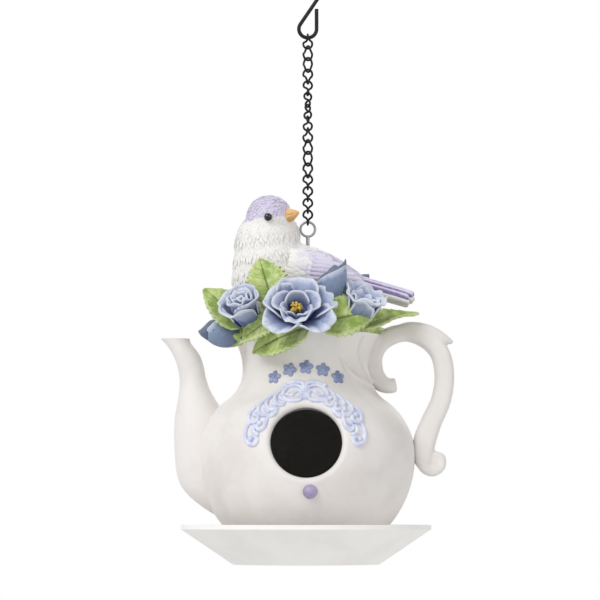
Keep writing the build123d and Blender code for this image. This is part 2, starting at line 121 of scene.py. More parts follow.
class Paint(Desk):  # a material around one Principled shader
    def __init__(self, name, **constants):
        self.material = bpy.data.materials.new(name)
        self.material.use_nodes = True
        super().__init__(self.material.node_tree)
        self.shader = self.tree.nodes["Principled BSDF"]
        for label, value in constants.items():
            self.shader.inputs[label.replace("_", " ")].default_value = value
        self.place = self.node("ShaderNodeTexCoord", output="Object")

    def grain(self, scale, detail=3.0, rough=0.55):
        return self.node("ShaderNodeTexNoise", None, {"Vector": self.place, "Scale": scale, "Detail": detail,
                                                      "Roughness": rough}, "Fac")

    def dots(self, scale):
        return self.node("ShaderNodeTexVoronoi", None, {"Vector": self.place, "Scale": scale}, "Distance")

    def own(self, name):  # a number that the piece's points carry
        return self.node("ShaderNodeAttribute", {"attribute_name": name}, output="Fac")

    def axes(self):
        split = self.node("ShaderNodeSeparateXYZ", None, {"Vector": self.place})
        return [Wire(self, output) for output in split.socket.node.outputs]

    def step(self, wire, low, high):  # 0 below low, 1 above high
        return self.node("ShaderNodeMapRange", {"interpolation_type": "SMOOTHSTEP"},
                         {"Value": wire, "From Min": low, "From Max": high})

    def blend(self, share, *colours):  # two screen colours or wires
        first, second = (tint(*colour) if isinstance(colour, tuple) else colour for colour in colours)
        return self.node("ShaderNodeMix", {"data_type": "RGBA"}, {"Factor": share, 6: first, 7: second}, 2)

    def bump(self, height, strength, depth, under=None):
        inputs = {"Height": height, "Strength": strength, "Distance": depth}
        if under:
            inputs["Normal"] = under
        return self.node("ShaderNodeBump", None, inputs)

    def coat(self, base, rough, relief):  # what the shader takes from the surface
        for label, wire in {"Base Color": base, "Roughness": rough, "Normal": relief}.items():
            if wire:
                self.tree.links.new(wire.socket, self.shader.inputs[label])
        return self.material


class Rig(Desk):  # a geometry tree with named inputs
    def __init__(self, name, **inputs):
        self.group = bpy.data.node_groups.new(name, "GeometryNodeTree")
        super().__init__(self.group)
        for label, kind in {"Geometry": "Geometry", **inputs, "Material": "Material"}.items():
            self.group.interface.new_socket(label, in_out="INPUT", socket_type="NodeSocket" + kind)
        self.group.interface.new_socket("Geometry", in_out="OUTPUT", socket_type="NodeSocketGeometry")
        self.inlet = self.tree.nodes.new("NodeGroupInput")
        self.outlet = self.tree.nodes.new("NodeGroupOutput")

    def given(self, label):
        return Wire(self, self.inlet.outputs[label])

    def own(self, label, kind="FLOAT"):  # what the points of the geometry carry
        return self.node("GeometryNodeInputNamedAttribute", {"data_type": kind}, {"Name": label})

    def chance(self, kind, low, high):  # a random value between two, from the rig's seed
        first, output = (0, 0) if kind == "FLOAT_VECTOR" else (2, 1)
        return self.node("FunctionNodeRandomValue", {"data_type": kind},
                         {first: low, first + 1: high, "Seed": self.given("Seed")}, output)

    def turned(self, up, ahead, twist):  # Z along up, Y towards ahead, then a turn of its own
        turn = self.node("FunctionNodeAxesToRotation", {"primary_axis": "Z", "secondary_axis": "Y"},
                         {"Primary Axis": up, "Secondary Axis": ahead})
        return self.node("FunctionNodeRotateRotation", {"rotation_space": "LOCAL"},
                         {"Rotation": turn, "Rotate By": twist})

    def copies(self, points, label, turn, size):  # the object that is handed in, on every point
        form = self.node("GeometryNodeObjectInfo", {"transform_space": "ORIGINAL"},
                         {"Object": self.given(label)}, "Geometry")
        return self.node("GeometryNodeInstanceOnPoints", None,
                         {"Points": points, "Instance": form, "Rotation": turn, "Scale": size})

    def close(self, *parts):
        whole = self.node("GeometryNodeJoinGeometry", None, {0: list(parts)})
        smooth = self.node("GeometryNodeSetShadeSmooth", None, {"Geometry": whole})
        real = self.node("GeometryNodeRealizeInstances", None, {"Geometry": smooth})
        painted = self.node("GeometryNodeSetMaterial", None,
                            {"Geometry": real, "Material": self.given("Material")})
        self.tree.links.new(painted.socket, self.outlet.inputs["Geometry"])
        return self

    def run(self, piece, **values):
        modifier = piece.modifiers.new(self.group.name, "NODES")
        modifier.node_group = self.group
        for item in self.group.interface.items_tree:
            if item.in_out == "INPUT" and item.name in values:
                modifier[item.identifier] = values[item.name]
        return settle(piece)


# Meshes

def setNumbers(mesh, label, values, kind="FLOAT"):
    field = "value" if kind == "FLOAT" else "vector"
    mesh.attributes.new(label, kind, "POINT").data.foreach_set(field, np.asarray(values, np.float32).ravel())


def addPiece(name, mesh):
    piece = bpy.data.objects.new(name, mesh)
    bpy.context.scene.collection.objects.link(piece)
    return piece


def meshPiece(name, points, faces, material=None, numbers=None, smooth=True):
    mesh = bpy.data.meshes.new(name)
    mesh.from_pydata([tuple(p) for p in points], [], faces)
    for label, values in (numbers or {}).items():
        setNumbers(mesh, label, values)
    if material:
        mesh.materials.append(material)
    if smooth:
        mesh.polygons.foreach_set("use_smooth", [True] * len(mesh.polygons))
    return addPiece(name, mesh)


def settle(piece):  # modifiers become the mesh
    bpy.context.view_layer.update()
    shown = piece.evaluated_get(bpy.context.evaluated_depsgraph_get())
    mesh = bpy.data.meshes.new_from_object(shown)
    piece.modifiers.clear()
    piece.data = mesh
    return piece


def finishWith(piece, *steps):
    for kind, settings in steps:
        modifier = piece.modifiers.new(kind, kind)
        for name, value in settings.items():
            setattr(modifier, name, value)
    return settle(piece)


def wall(thickness, offset=0.0):
    return "SOLIDIFY", {"thickness": thickness * mm, "offset": offset}


softer = "SUBSURF", {"levels": 1, "render_levels": 1}


def outward(piece):
    made = bmesh.new()
    made.from_mesh(piece.data)
    bmesh.ops.remove_doubles(made, verts=made.verts, dist=1e-6)
    bmesh.ops.recalc_face_normals(made, faces=made.faces)
    made.to_mesh(piece.data)
    made.free()
    return piece


def sheet(rows, columns):  # v along and u across a strip, row by row
    return [(v, u) for v in np.linspace(0, 1, rows) for u in np.linspace(-1, 1, columns)]


def gridFaces(rows, columns, closed=False):
    faces = []
    for row in range(rows - 1):
        low, high = row * columns, (row + 1) * columns
        for column in range(columns if closed else columns - 1):
            after = (column + 1) % columns
            faces.append((low + column, low + after, high + after, high + column))
    return faces


def tubeFaces(rows, columns):  # closed all round and at both ends
    last = (rows - 1) * columns
    return gridFaces(rows, columns, True) + [tuple(range(columns))[::-1], tuple(range(last, last + columns))]


def gather(parts):  # parts of points, faces and numbers as one
    points, faces, numbers = [], [], {}
    for grid, quads, *carried in parts:
        faces += [tuple(i + len(points) for i in quad) for quad in quads]
        points += grid
        for label, values in (carried[0] if carried else {}).items():
            numbers.setdefault(label, []).extend(values)
    return points, faces, numbers


def keep(piece, slot, *nodes):  # the piece moves with the house and stands for its CAD nodes
    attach(piece, "house")
    if nodes:
        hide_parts(*nodes)


def facing(origin, heading, lift, roll=0.0):  # Z forward, X sideways, as the wreath's pieces lie
    turn, rise = radians(heading), radians(lift)
    forward = Vector((cos(turn) * cos(rise), sin(turn) * cos(rise), sin(rise)))
    sideways = Vector((-sin(turn), cos(turn), 0))
    frameAxes = Matrix((sideways, forward.cross(sideways), forward)).transposed().to_4x4()
    return Matrix.Translation(origin) @ frameAxes @ Matrix.Rotation(radians(roll), 4, "Z")


rim = {"height": 125.0, "radius": 41.0}


def onWreath(angle, out, rise, heading, lift, roll=0.0):
    turn = radians(angle)
    reach = rim["radius"] + out
    origin = spot(reach * cos(turn), reach * sin(turn), rim["height"] + rise)
    return facing(origin, heading, lift, roll)


def placed(matrix, points):  # millimetres on a piece to metres in the frame
    return [matrix @ (Vector(p) * mm) for p in points]


print("helpers ready")


# Finishes

def castWhite(name, colour, shade, hollowShade=None):
    paint = Paint(name, Specular_IOR_Level=0.35)
    base = paint.blend(paint.step(paint.grain(38.0, 4.0), 0.38, 0.72) * 0.55, colour, shade)
    base = paint.blend((1 - paint.step(paint.dots(260.0), 0.05, 0.16)) * 0.10, base, shade)
    if hollowShade:  # an egg inside the pot: what lies in it is painted darker, as painted shade for the dark inside of the pot
        middle = spot(0, 0, hollowShade["height"])
        reach = [(axis - at) * (1 / (size * mm))
                 for axis, at, size in zip(paint.axes(), middle, hollowShade["half"])]
        insideShade = 1 - paint.step(reach[0] ** 2 + reach[1] ** 2 + reach[2] ** 2, 0.985, 1.015)
        base = paint.blend(insideShade, base, hollowShade["colour"])
    brushed = paint.bump(paint.grain(75.0, 4.0), 0.22, 0.0016)
    return paint.coat(base, 0.56 + paint.grain(120.0) * 0.16,
                      paint.bump(paint.grain(900.0, 2.0), 0.16, 0.0004, brushed))


def blackEnamel(name):
    paint = Paint(name, Specular_IOR_Level=0.30)
    worn = paint.step(paint.grain(420.0, 4.0), 0.62, 0.74) * 0.35
    return paint.coat(paint.blend(worn, (9, 9, 10), (46, 44, 43)), 0.42 + paint.grain(260.0) * 0.2,
                      paint.bump(paint.grain(700.0), 0.25, 0.0002))


def platedWire(name):
    paint = Paint(name, Metallic=1.0)
    return paint.coat(paint.blend(paint.grain(500.0), (176, 176, 178), (124, 122, 120)),
                      0.26 + paint.grain(800.0) * 0.25, paint.bump(paint.grain(900.0), 0.2, 0.0002))


def petalPaint(name, shadeAndSpeck, body, lip):
    paint = Paint(name, Specular_IOR_Level=0.3)
    streak = paint.grain(260.0, 4.0, 0.65)
    # painted shade: each petal darker towards its root, deep in the flower
    base = paint.blend(paint.step(paint.own("along") + streak * 0.4, 0.26, 1.10), shadeAndSpeck, body)
    base = paint.blend(paint.step(paint.own("edge") + streak * 0.22, 0.88, 1.08) * 0.8, base, lip)
    # painted shade: inner petals darker by their shade number; the specks below are random dark blue
    base = paint.blend(paint.own("shade") * 0.75, base, shadeAndSpeck)
    speck = (1 - paint.step(paint.dots(330.0), 0.10, 0.24)) * paint.step(paint.grain(90.0), 0.48, 0.60)
    base = paint.blend(speck * 0.75, base, shadeAndSpeck)
    return paint.coat(base, 0.46 + streak * 0.2, paint.bump(streak, 0.35, 0.0008))


def leafPaint(name):
    paint = Paint(name, Specular_IOR_Level=0.3)
    patch = paint.grain(110.0, 4.0, 0.6)
    streak = paint.grain(360.0, 3.0, 0.6)
    base = paint.blend(paint.step(patch + streak * 0.3, 0.46, 0.84), (142, 169, 80), (213, 226, 154))
    base = paint.blend(paint.step(paint.own("edge") + streak * 0.2, 0.84, 1.08) * 0.6, base, (214, 224, 168))
    # painted shade: darker in the vein grooves and the notches between teeth
    grooveShade = paint.step(paint.own("vein") + patch * 0.4, 0.62, 1.15) * 0.75
    base = paint.blend(grooveShade, base, (72, 92, 40))
    return paint.coat(base, 0.44 + patch * 0.2, paint.bump(streak, 0.35, 0.0007))


def plumePaint(name):
    paint = Paint(name, Specular_IOR_Level=0.3)
    along, streak = paint.own("along"), paint.grain(360.0, 4.0, 0.65)
    # painted shade: white and lilac both darker at each feather's root and sides, where the feathers overlap
    white = paint.blend(paint.step(along + streak * 0.6, 0.22, 0.90), (202, 198, 198), (246, 244, 241))
    lilac = paint.blend(paint.step(along + streak * 0.6, 0.30, 1.0), (138, 123, 168), (228, 222, 241))
    base = paint.blend(paint.step(paint.own("violet") + streak * 0.3, 0.40, 0.85), white, lilac)
    return paint.coat(base, 0.5 + streak * 0.2, paint.bump(streak, 0.35, 0.0006))


def beakPaint(name):
    paint = Paint(name, Roughness=0.5)
    base = paint.blend(paint.step(paint.grain(220.0), 0.35, 0.7), (236, 192, 128), (208, 156, 94))
    base = paint.blend(paint.step(paint.own("seam"), 0.45, 0.95) * 0.8, base, (112, 72, 44))
    return paint.coat(base, None, paint.bump(paint.grain(380.0), 0.25, 0.0003))


def stamenPaint(name):
    paint = Paint(name, Roughness=0.5)
    base = paint.blend(paint.step(paint.grain(900.0), 0.35, 0.65), (238, 214, 96), (186, 146, 52))
    return paint.coat(base, None, paint.bump(paint.grain(1200.0), 0.3, 0.0002))


def plainPaint(name, light, dark, rough, gloss=0.0):
    paint = Paint(name, Coat_Weight=gloss, Coat_Roughness=0.08)
    base = paint.blend(paint.step(paint.grain(160.0, 3.0), 0.35, 0.7), light, dark)
    return paint.coat(base, rough - 0.06 + paint.grain(300.0) * 0.12,
                      paint.bump(paint.grain(500.0), 0.15, 0.0003))


def reliefPaint(name, high, low):
    paint = Paint(name)
    cloud = paint.grain(210.0, 4.0)
    return paint.coat(paint.blend(paint.step(cloud, 0.34, 0.68), high, low), 0.48 + cloud * 0.18,
                      paint.bump(cloud, 0.3, 0.0006))


# painted shade: the pot's inside is painted grey so that it renders as dark as a shaded hollow
cavityShade = {"height": 56.0, "half": (54.3, 54.3, 52.0), "colour": (158, 156, 154)}
potPaint = castWhite("potWhite", (238, 234, 231), (219, 213, 209), cavityShade)
rosePaint = petalPaint("roseBlue", (84, 98, 150), (172, 183, 212), (228, 232, 241))
budPaint = petalPaint("budBlue", (54, 66, 96), (132, 148, 176), (204, 212, 228))
leafGreen = leafPaint("leafGreen")
plume = plumePaint("plumage")
print("finishes mixed")


# CAD pieces whose shape is right take a finish

def dress(material, *nodes):
    for node in nodes:
        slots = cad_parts[node].data.materials
        slots.clear()
        slots.append(material)


potNodes = [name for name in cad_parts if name.startswith("pot_")]
chainNodes = [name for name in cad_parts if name.startswith("chain_link")]
dress(potPaint, "spout", *potNodes)
dress(castWhite("saucerWhite", (252, 250, 247), (240, 237, 233)), "saucer")
dress(blackEnamel("chainBlack"), "s_hook", *chainNodes)
dress(platedWire("eyeletSteel"), "screw_eye")
dress(plainPaint("eyeBlack", (6, 6, 7), (11, 10, 10), 0.16, 0.3), "bird_eyes")
dress(plainPaint("knobLilac", (176, 164, 196), (154, 142, 176), 0.42), "perch_knob")
dress(plainPaint("plugRubber", (70, 70, 70), (54, 54, 54), 0.75), "cleanout_plug")
dress(leafGreen, "lid")
print("kept pieces dressed")


# Roses: every petal is a strip of the flower's own turned profile

petalShape = {"rows": 10, "columns": 13, "foot": 0.42, "round": 0.34, "steps": 40, "thickness": 1.1}
petalRow = ("reach", "height", "length", "width", "lean", "curl", "cup",
            "lipRoll", "ruffle", "waves", "shade")
roses = {  # each row of petals: their angles, a seed, then the sizes that petalRow names
    "front": dict(place=dict(angle=-96, out=2.4, rise=8.4, heading=-93, lift=38), petals=[
        ((90, 162), 3, 4.2, -2.6, 19, 28, 44, 18, 13, 30, 0.7, 2.5, 0),
        ((232, 318, 18), 4, 4, -2.8, 19, 25, 58, 22, 12, 56, 2.3, 4.2, 0),
        ((176, 10), 5, 4, -1.2, 14.6, 19, 26, 24, 9.2, 30, 1.4, 3.2, 0.08),
        ((268,), 6, 4.8, -1.4, 14.4, 24, 26, 22, 9.4, 66, 2.1, 4, 0),
        ((212, 322), 7, 4.2, -1, 11.4, 12, 18, 20, 6.4, 50, 1.2, 2.5, 0.15),
        ((92,), 8, 5.4, -0.6, 12.4, 18, 12, -16, 6.6, -4, 0.3, 2.5, 0.05),
        ((40, 160, 280), 9, 0.3, -1, 6.2, 13, 76, 0, 14, 0, 0.2, 2.5, 0.6)]),
    "left": dict(place=dict(angle=-134, out=4, rise=6.6, heading=-112, lift=44), petals=[
        ((255, 165), 11, 3.4, -3, 20, 26, 24, 8, 10.4, 44, 1.3, 2.5, 0),
        ((345, 75), 12, 3.2, -3, 21.5, 25, 16, 4, 9.8, 30, 0.9, 2.5, 0.14),
        ((215, 320, 95), 13, 3, -0.5, 18, 18, 8, 4, 7, 36, 1.3, 2.5, 0),
        ((150, 270, 30), 14, 2, 1.2, 15.8, 13, 4, 2, 4.6, 30, 1.1, 2.5, 0),
        ((100, 280), 15, 0.9, 2.4, 13.4, 8, 0, 2, 2.6, 30, 0.6, 2.5, 0)]),
    "right": dict(place=dict(angle=-47, out=-4, rise=4, heading=-52, lift=54), petals=[
        ((15, 105, 195, 290), 21, 2.6, 0, 22.5, 24, 14, 26, 10, 50, 1.8, 3, 0),
        ((60, 180, 300), 22, 2.4, 2, 17.5, 16, 9, 24, 7, 40, 1.6, 2.8, 0),
        ((0, 120, 240), 23, 1.8, 4, 12, 10, 5, 12, 4.2, 30, 0.7, 2.5, 0.45),
        ((30, 210), 24, 0.8, 4.6, 10.4, 7, 0, 3, 2.3, 30, 0.5, 2.5, 0.3)]),
    "back": dict(place=dict(angle=92, out=-1, rise=9, heading=92, lift=38), petals=[
        ((90, 165, 235, 310, 20), 31, 3.4, -2.6, 15, 20, 46, 30, 11.5, 40, 1.2, 2.5, 0),
        ((50, 140, 230, 320), 32, 2.9, -1, 12, 15, 22, 26, 7.8, 30, 1, 2.5, 0),
        ((10, 130, 250), 33, 2, 0.4, 9.4, 10.4, 6, 16, 4.6, 30, 0.6, 2.5, 0.2),
        ((70, 250), 34, 0.8, 1, 7.8, 6, 0, 4, 2.2, 30, 0.4, 2.5, 0.25)]),
}


def petalGrid(angle, phase, skew, reach, height, length, width, lean, curl, cup,
              lipRoll, ruffle, waves, shade):
    shares = np.linspace(0, 1, petalShape["steps"] + 1)
    slopes = np.radians(lean + curl * shares ** 1.5 + lipRoll * ease(0.74, 1.0, shares))

    def summed(steps):  # the profile's way out or up, added along the petal
        return length * np.concatenate([[0], np.cumsum(steps[:-1] + steps[1:]) / (2 * petalShape["steps"])])

    outs, ups = reach + summed(np.sin(slopes)), height + summed(np.cos(slopes))
    rows, columns, foot = petalShape["rows"], petalShape["columns"], petalShape["foot"]
    points, along, edge = [], [], []
    turn = Matrix.Rotation(radians(angle), 3, "Z")
    for v, u in sheet(rows, columns):
        s = min(1.0, v * (1 - petalShape["round"] * abs(u) ** 2.6) * (1 + skew * u))
        slope = np.interp(s, shares, slopes)
        half = width / 2 * (foot + (1 - foot) * sin(min(1.0, s / 0.62) * pi / 2))
        bend = u * half / cup
        wave = sin(waves * pi * u + phase) + 0.5 * s * sin(2.7 * waves * u + 2 * phase)
        lift = cup * (1 - cos(bend)) + ruffle * s * s * wave
        out = np.interp(s, shares, outs) - cos(slope) * lift
        up = np.interp(s, shares, ups) + sin(slope) * lift
        points.append(turn @ Vector((out, cup * sin(bend), up)))
        along.append(s)
        edge.append(max(v, abs(u) ** 1.5 * ease(0.2, 0.6, v)))
    return points, gridFaces(rows, columns), {"along": along, "edge": edge, "shade": [shade] * len(points)}


def whorl(angles, seed, *sizes):  # petals at the given angles, each a little different
    draw = random.Random(seed)
    petal = dict(zip(petalRow, sizes))
    return [petalGrid(**dict(petal, angle=angle, phase=draw.uniform(0, wholeWave),
                             lean=petal["lean"] + draw.uniform(-4, 4),
                             length=petal["length"] * draw.uniform(0.95, 1.06),
                             skew=draw.uniform(-0.08, 0.08)))
            for angle in angles]


def bloom(name, place, petals, material, thickness):
    points, faces, numbers = gather(petals)
    piece = meshPiece(name, placed(onWreath(**place), points), faces, material, numbers)
    return finishWith(piece, wall(thickness), softer)


for side, rose in roses.items():
    petals = [petal for row in rose["petals"] for petal in whorl(*row)]
    flower = bloom(f"rose_{side}_petals", rose["place"], petals, rosePaint, petalShape["thickness"])
    keep(flower, "rose_resin", f"rose_{side}")


# Stamens in the front rose

stamens = {"Count": 26, "Spread": 3.0 * mm, "Height": 3.8 * mm, "Stalk": 0.34 * mm, "Head": 0.78 * mm,
           "Seed": 9}
stamenSeat = (0.0, 0.6 * mm, 5.4 * mm)


def stamenRig():
    rig = Rig("stamens", Count="Int", Spread="Float", Height="Float", Stalk="Float", Head="Float", Seed="Int")
    wide, tall = rig.given("Spread"), rig.given("Height")
    spread = rig.chance("FLOAT_VECTOR", (-1.0, -1.0, -0.35), (1.0, 1.0, 0.2))
    seats = rig.node("GeometryNodePoints", None, {"Count": rig.given("Count"), "Position": spread})
    size = rig.node("ShaderNodeCombineXYZ", None, {"X": wide, "Y": wide, "Z": tall})
    seats = rig.node("GeometryNodeTransform", None, {"Geometry": seats, "Scale": size})
    stalk = rig.node("GeometryNodeMeshCylinder", None,
                     {"Vertices": 8, "Radius": rig.given("Stalk"), "Depth": tall})
    stalk = rig.node("GeometryNodeTransform", None, {
        "Geometry": stalk, "Translation": rig.node("ShaderNodeCombineXYZ", None, {"Z": tall * -0.5})})
    head = rig.node("GeometryNodeMeshIcoSphere", None, {"Radius": rig.given("Head"), "Subdivisions": 2})
    one = rig.node("GeometryNodeJoinGeometry", None, {0: [stalk, head]})
    return rig.close(rig.node("GeometryNodeInstanceOnPoints", None, {"Points": seats, "Instance": one}))


tuft = meshPiece("rose_front_stamens", [], [])
stamenRig().run(tuft, Material=stamenPaint("stamenYellow"), **stamens)
tuft.data.transform(onWreath(**roses["front"]["place"]) @ Matrix.Translation(stamenSeat))
keep(tuft, "rose_resin")
print("roses opened")


# Buds: a broad petal rolled round one painted darker as shade, on a short stem

budShape = {"rows": 16, "columns": 31, "wrap": 165.0, "thickness": 0.9}
buds = {
    "left": dict(place=dict(angle=-151, out=-1.8, rise=-2.8, heading=178, lift=13), petals=dict(
        length=23, radius=6.9, turn=-30, tip=-20, fall=0.50, heart=0.72, shut=0.85)),
    "upright": dict(place=dict(angle=-73.5, out=-5, rise=11.4, heading=-8, lift=77), petals=dict(
        length=27.6, radius=7.1, turn=200, tip=64, fall=0.63, heart=0.84, shut=0.75)),
    "wing": dict(place=dict(angle=36, out=-8, rise=14.2, heading=10, lift=74), petals=dict(
        length=22, radius=4.8, turn=200, tip=60, fall=0.14, heart=0.72, shut=0.85)),
}
stem = {"drop": 13.0, "radius": 1.5, "points": 5, "reach": 3.6, "sides": 40, "thickness": 0.7}


def budGrid(length, radius, turn, wrap, tip, fall, shade, shut):
    rows, columns = budShape["rows"], budShape["columns"]
    points, along, edge = [], [], []
    for v, u in sheet(rows, columns):
        at = radians(turn + u * wrap * (0.6 + 0.4 * ease(0, 0.4, v)))
        away = abs((u * wrap - tip + 180) % 360 - 180) / 180
        s = v * (1 - fall * away ** 1.1)
        swell = sin(pi * (0.10 + shut * s)) ** 0.85
        r = radius * swell + (0.5 * (u + 1) * v + 0.4 * ease(0.88, 1.0, v)) * (fall > 0)
        points.append((r * cos(at), r * sin(at), length * s))
        along.append(0.35 + 0.65 * s)
        edge.append(v)
    return points, gridFaces(rows, columns), {"along": along, "edge": edge, "shade": [shade] * len(points)}


def budPetals(length, radius, turn, tip, fall, heart, shut):
    wrap = budShape["wrap"]
    # the inner petal and the core take high shade numbers: painted shade inside the bud
    return [budGrid(length, radius, turn, wrap, tip, fall, 0.0, shut),
            budGrid(length * 1.07, radius * 0.90, turn, wrap, tip + 8, fall * heart, 0.95, shut),
            budGrid(length * 0.90, radius * 0.78, turn, 179.0, tip, 0.0, 0.9, 0.895)]


def stemShape(radius):  # a stalk that opens into a pointed cup under the bud
    points, levels = [], (0.0, 0.5, 0.72, 0.80, 0.88, 0.94, 1.0)
    for share in levels:
        for turn in around(stem["sides"]):
            tip = stem["reach"] + 1.6 * cos(stem["points"] * turn)
            height = -stem["drop"] + share / 0.8 * stem["drop"] if share < 0.8 else (share - 0.8) / 0.2 * tip
            reach = sin(pi * (0.10 + 0.85 * max(0.0, height) / 23)) ** 0.85 * radius + 0.5
            wide = stem["radius"] + (reach - stem["radius"]) * ease(0.70, 0.90, share)
            points.append((wide * cos(turn), wide * sin(turn), height))
    return points, gridFaces(len(levels), stem["sides"], True) + [tuple(range(stem["sides"]))[::-1]]


stalks = []
for side, bud in buds.items():
    petals = budPetals(**bud["petals"])
    flower = bloom(f"bud_{side}_petals", bud["place"], petals, budPaint, budShape["thickness"])
    keep(flower, "bud_resin", f"bud_{side}")
    points, faces = stemShape(bud["petals"]["radius"])
    stalks.append((placed(onWreath(**bud["place"]), points), faces))
stalks = meshPiece("bud_stems", *gather(stalks)[:2], leafGreen)
keep(finishWith(stalks, wall(stem["thickness"])), "leaf_resin")
print("buds wrapped")


# Leaves: toothed, folded along the midrib, with raised side veins

leafShape = {"curl": 80.0, "teeth": 9, "fold": 0.26, "veins": 5, "veinHeight": 0.6, "rows": 64, "columns": 15,
             "thickness": 1.4, "seed": 70}
leaves = {
    "upper_left": dict(blade=dict(length=29, width=22, depth=0.10),
                       place=dict(angle=-144, out=2, rise=3, heading=178, lift=52, roll=-66)),
    "upright": dict(blade=dict(length=25, width=24, depth=0.22),
                    place=dict(angle=-118, out=-2, rise=16, heading=158, lift=72, roll=-64)),
    "small": dict(blade=dict(length=21, width=15, twist=80),
                  place=dict(angle=-115, out=3.4, rise=6, heading=178, lift=-34, roll=-70)),
    "lower": dict(blade=dict(length=34, width=23),
                  place=dict(angle=-89, out=3, rise=1.6, heading=168, lift=-19, roll=-68)),
    "right": dict(blade=dict(length=33, width=27),
                  place=dict(angle=-82, out=3, rise=3.4, heading=10, lift=15, roll=64)),
    "far_right": dict(blade=dict(length=36, width=15),
                      place=dict(angle=-38, out=-6, rise=1.6, heading=13, lift=27, roll=30)),
    "back_right": dict(blade=dict(length=36, width=17),
                       place=dict(angle=48, out=-11, rise=4, heading=40, lift=14, roll=15)),
    "back_left": dict(blade=dict(length=36, width=17),
                      place=dict(angle=138, out=-11, rise=4, heading=142, lift=14, roll=-15)),
    "back_fill": dict(blade=dict(length=26, width=15),
                      place=dict(angle=178, out=-11, rise=4, heading=176, lift=10, roll=0)),
    "back_drop": dict(blade=dict(length=32, width=17),
                      place=dict(angle=86, out=2.5, rise=2, heading=-19, lift=-24, roll=-65)),
}


def leafGrid(seed, length, width, depth=0.16, twist=0.0):
    draw = random.Random(seed)
    sway = draw.uniform(-0.06, 0.06)
    ripple = draw.uniform(0, wholeWave)
    rows, columns = leafShape["rows"], leafShape["columns"]
    points, vein, edge = [], [], []
    for v, u in sheet(rows, columns):
        half = width / 2 * sin(pi * min(1.0, v * 0.98 + 0.02) ** 0.80) ** 0.75
        tooth = (v * leafShape["teeth"] + 0.25 * (u > 0)) % 1
        notch = depth * tooth * ease(0.08, 0.25, v) * ease(0.35, 1.0, abs(u))
        across = u * half * (1 - notch)
        branch = (v * leafShape["veins"] - abs(u) * 1.05) % 1
        crest = exp(-((branch - 0.5) / 0.12) ** 2) * ease(0.04, 0.2, abs(u)) * (1 - ease(0.8, 1.0, abs(u)))
        midrib = exp(-(u / 0.09) ** 2)
        up = -(length * v) ** 2 / (2 * leafShape["curl"])
        up += leafShape["fold"] * abs(across) + 1.0 * sin(8 * v + ripple + 1.5 * (u > 0)) * abs(u) ** 1.5
        up -= leafShape["veinHeight"] * (crest + 1.3 * midrib) * (1 - 0.5 * v)
        turn = radians(twist) * (v - 0.35)
        sideways = across * cos(turn) - up * sin(turn) + sway * length * v * v
        points.append((sideways, across * sin(turn) + up * cos(turn), length * v))
        # vein marks the grooves and notches that take painted shade
        vein.append(max(crest * 0.8, midrib, 1.2 * notch))
        edge.append(max(abs(u), ease(0.92, 1.0, v)))
    return points, gridFaces(rows, columns), {"vein": vein, "edge": edge}


for number, (side, leaf) in enumerate(leaves.items()):
    points, faces, numbers = leafGrid(leafShape["seed"] + number, **leaf["blade"])
    points = placed(onWreath(**leaf["place"]), points)
    blade = meshPiece(f"leaf_{side}_blade", points, faces, leafGreen, numbers)
    keep(finishWith(blade, wall(leafShape["thickness"])), "leaf_resin", f"leaf_{side}")
print("leaves laid")


# Paths and forms, in house millimetres

def smoothPath(points, count):  # an even run of points on a curve through the given ones
    knots = np.array(points, float)
    knots = np.vstack([2 * knots[0] - knots[1], knots, 2 * knots[-1] - knots[-2]])
    at = np.linspace(0, len(points) - 1 - 1e-6, count)
    index, t = at.astype(int), (at % 1)[:, None]
    a, b, c, d = (knots[index + step] for step in range(4))
    return 0.5 * (2 * b + (c - a) * t + (2 * a - 5 * b + 4 * c - d) * t ** 2
                  + (3 * b - a - 3 * c + d) * t ** 3)


def squared(value):  # a rounded square instead of a circle
    return copysign(abs(value) ** 0.62, value)


def flatTube(path, sides=28):  # rows of x, z, half width and half depth
    middle = path[:, :2]
    along = np.gradient(middle, axis=0)
    along /= np.linalg.norm(along, axis=1)[:, None]
    points = []
    for (x, z), (dx, dz), (width, depth) in zip(middle, along, path[:, 2:4]):
        for turn in around(sides):
            reach = width * squared(cos(turn))
            points.append((x - dz * reach, depth * squared(sin(turn)), z + dx * reach))
    return points, tubeFaces(len(path), sides)


def egg(centre, size, slope=0.0, rows=14, columns=24):
    tip = Matrix.Rotation(radians(slope), 3, "Y")
    points = [Vector(centre) + tip @ Vector((size[0] * sin(lat) * cos(lon),
                                             size[1] * sin(lat) * sin(lon), size[2] * cos(lat)))
              for lat in np.linspace(0.02, pi - 0.02, rows) for lon in around(columns)]
    return points, tubeFaces(rows, columns)


def sculpt(name, forms, material, grain, rounds):  # forms melted into one skin
    points, faces = gather(forms)[:2]
    piece = outward(meshPiece(name, [spot(*p) for p in points], faces, material))
    finishWith(piece, ("REMESH", {"mode": "VOXEL", "voxel_size": grain * mm}),
               ("SMOOTH", {"factor": 0.5, "iterations": rounds}))
    piece.data.polygons.foreach_set("use_smooth", [True] * len(piece.data.polygons))
    return piece


potMeshes = [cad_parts[name].data for name in potNodes]
potTrees = [BVHTree.FromPolygons([v.co for v in mesh.vertices], [p.vertices for p in mesh.polygons])
            for mesh in potMeshes]
before = -150  # a ray starts here, in front of the pot


def onPot(x, z):  # where the pot's front lies at x and z, and which way it faces
    casts = [tree.ray_cast(spot(x, before, z), Vector((0, 1, 0))) for tree in potTrees]
    return min((cast for cast in casts if cast[0]), key=lambda cast: cast[3])[:2]


# Handle: a scroll from the pot's neck out and down to the belly, a thumb leaf on top, a curl at the foot

